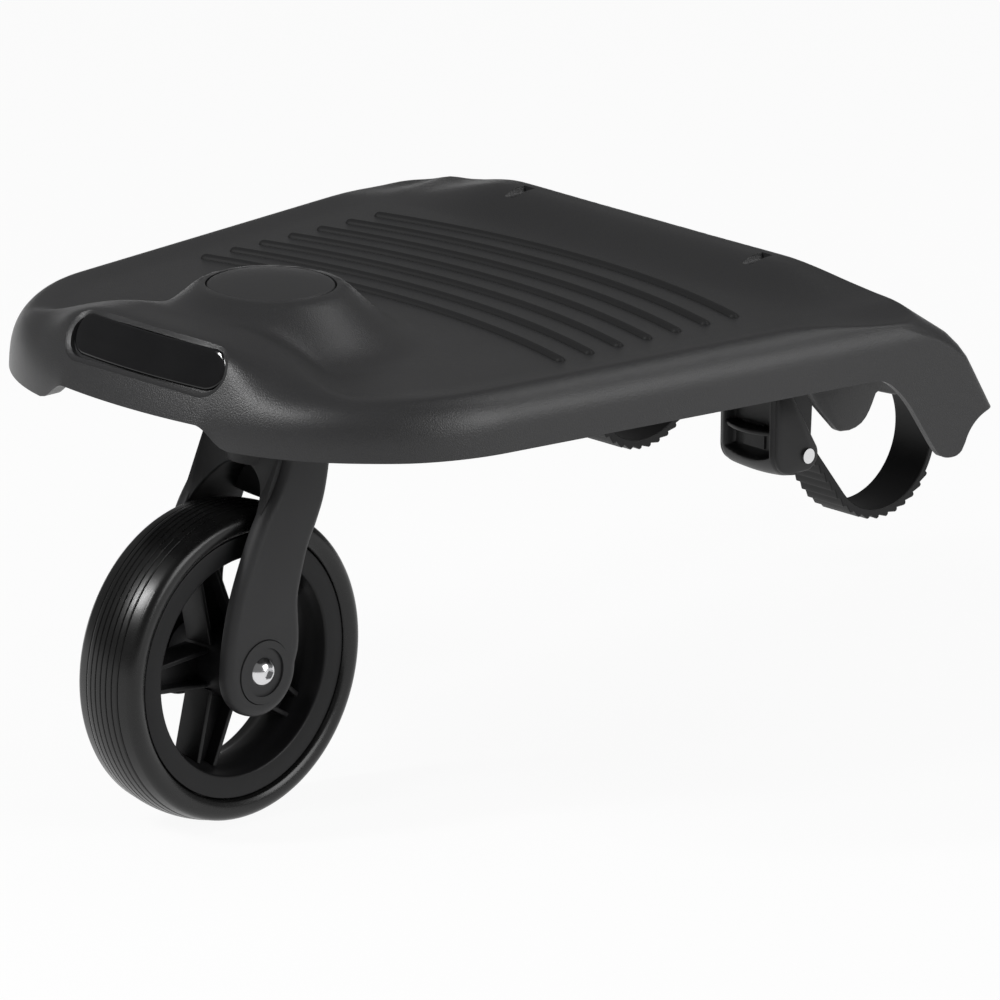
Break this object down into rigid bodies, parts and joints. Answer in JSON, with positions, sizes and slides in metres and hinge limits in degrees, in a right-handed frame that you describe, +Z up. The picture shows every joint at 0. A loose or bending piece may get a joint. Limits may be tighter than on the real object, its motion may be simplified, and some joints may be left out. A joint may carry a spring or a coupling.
{
  "type": "buggy board",
  "caption": "Ride-on board for a stroller: dished ribbed deck on a swivelling caster wheel, with toothed straps and lever buckles that close on the stroller's rear tube.",
  "frame": {"origin": "middle of the tube space of the two straps, on the board's midline", "axes": "+X from the caster end towards the stroller, +Y along the stroller's tube to the far side, +Z up"},
  "size_m": [0.4492, 0.3526, 0.2513],
  "materials": {
    "deck_plastic": "fine matte grain, black",
    "badge_gloss": "gloss black, bare",
    "cap_plastic": "fine matte grain, black",
    "bush_plastic": "natural acetal",
    "steel": "zinc plated",
    "bright_steel": "bright plated",
    "fork_plastic": "satin black",
    "rim_plastic": "satin black",
    "tyre": "smooth black rubber",
    "strap_rubber": "black, toothed",
    "buckle_plastic": "satin black"
  },
  "bodies": {
    "board": {"deck_shell": "deck_plastic", "badge_plate": "badge_gloss", "swivel_cap": "cap_plastic", "swivel_bush_upper": "bush_plastic", "swivel_bush_lower": "bush_plastic", "bracket_screws": "steel", "anchor_pin_near": "steel", "anchor_pin_far": "steel", "buckle_bracket_near": "buckle_plastic", "buckle_bracket_far": "buckle_plastic", "lever_pin_near": "bright_steel", "lever_pin_far": "bright_steel", "lever_spring_near": "steel", "lever_spring_far": "steel"},
    "caster": {"fork": "fork_plastic", "kingpin": "steel", "kingpin_washer": "steel", "kingpin_nut": "steel", "thrust_washer": "bush_plastic", "axle_bolt": "bright_steel", "axle_nut": "bright_steel", "axle_sleeve": "steel", "axle_insert_near": "fork_plastic", "axle_insert_far": "fork_plastic"},
    "wheel": {"rim": "rim_plastic", "tyre": "tyre", "wheel_bearing_near": "steel", "wheel_bearing_far": "steel"},
    "lever_near": {"buckle_lever_near": "buckle_plastic"},
    "strap_near": {"strap_near": "strap_rubber"},
    "lever_far": {"buckle_lever_far": "buckle_plastic"},
    "strap_far": {"strap_far": "strap_rubber"}
  },
  "joints": [
    {"name": "caster_swivel", "type": "hinge", "parent": "board", "child": "caster", "pos_m": [-0.3084, 0, 0.05], "axis": [0, 0, 1], "continuous": true},
    {"name": "wheel_spin", "type": "hinge", "parent": "caster", "child": "wheel", "pos_m": [-0.3392, 0, -0.0578], "axis": [0, 1, 0], "continuous": true},
    {"name": "buckle_lever_near", "type": "hinge", "parent": "board", "child": "lever_near", "pos_m": [-0.057, -0.079, 0.006], "axis": [0, -1, 0], "range_deg": [0, 60], "stiffness_Nm_per_rad": 0.08, "springref_deg": -20.05},
    {"name": "strap_swing_near", "type": "hinge", "parent": "board", "child": "strap_near", "pos_m": [-0.029, -0.079, 0.043], "axis": [0, -1, 0], "range_deg": [0, 60]},
    {"name": "buckle_lever_far", "type": "hinge", "parent": "board", "child": "lever_far", "pos_m": [-0.057, 0.079, 0.006], "axis": [0, -1, 0], "range_deg": [0, 60], "stiffness_Nm_per_rad": 0.08, "springref_deg": -20.05},
    {"name": "strap_swing_far", "type": "hinge", "parent": "board", "child": "strap_far", "pos_m": [-0.029, 0.079, 0.043], "axis": [0, -1, 0], "range_deg": [0, 60]}
  ]
}
